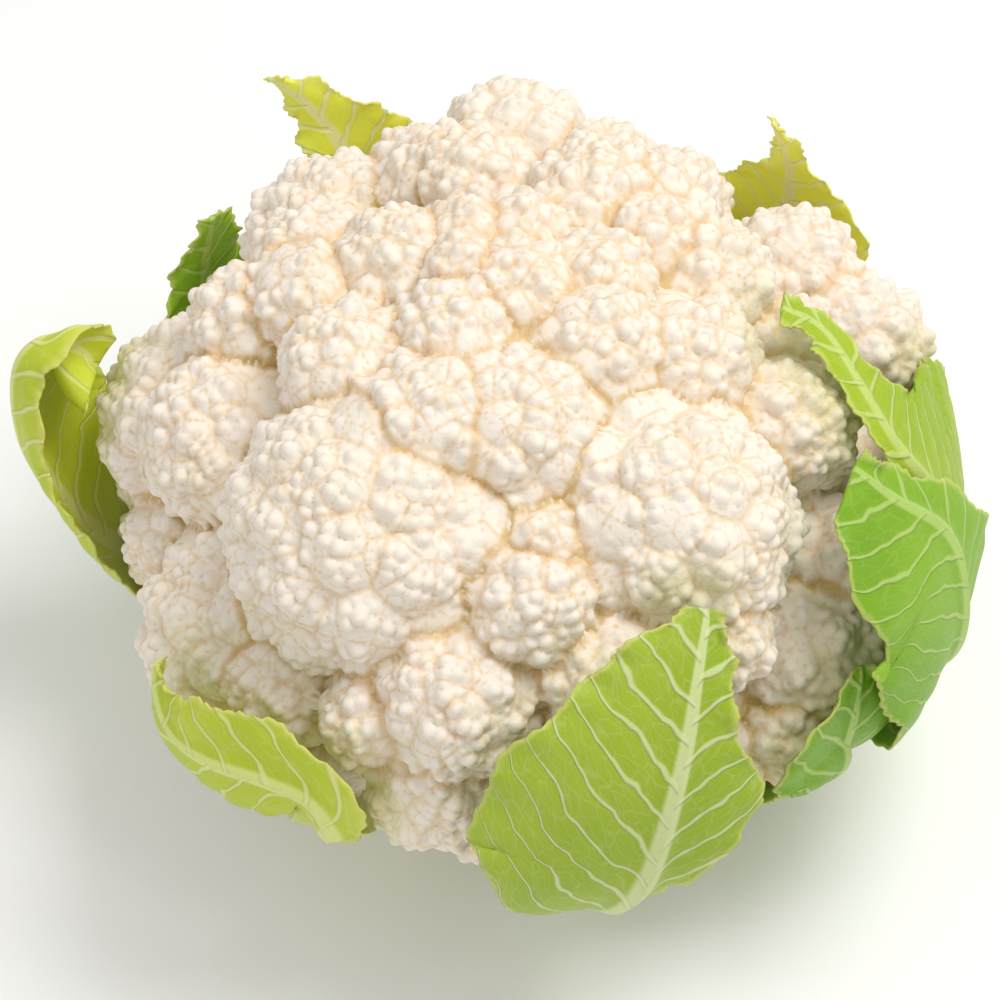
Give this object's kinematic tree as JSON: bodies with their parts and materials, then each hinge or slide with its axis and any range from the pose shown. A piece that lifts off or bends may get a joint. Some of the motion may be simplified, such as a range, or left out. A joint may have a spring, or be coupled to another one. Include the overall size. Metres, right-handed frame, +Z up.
{
  "type": "cauliflower",
  "caption": "A fresh head of cauliflower: a cream-white curd of rounded florets on a short cut stalk, held in bright green toothed leaves",
  "frame": {"origin": "the middle of the stalk's flat cut face, on which the head stands", "axes": "+Z up along the stalk to the top of the curd; the side that the picture shows faces -Y; +X is to the right there"},
  "size_m": [0.1957, 0.1866, 0.1261],
  "materials": {
    "curd": "matt, moist, cream-white with warm tan in the creases",
    "stalk": "pale green skin, off-white cut face with a ring of fibres",
    "leaf": "waxy yellow-green leaf with raised whitish-green veins",
    "leaf_outer": "waxy, deeper green outer leaf with pale raised veins"
  },
  "bodies": {
    "root": {"curd": "curd", "stalk": "stalk", "leaf_front": "leaf", "leaf_front_right": "leaf_outer", "leaf_right_outer": "leaf_outer", "leaf_right_inner": "leaf", "leaf_back_right": "leaf", "leaf_back": "leaf", "leaf_back_left": "leaf", "leaf_left": "leaf", "leaf_front_left": "leaf"}
  },
  "joints": []
}
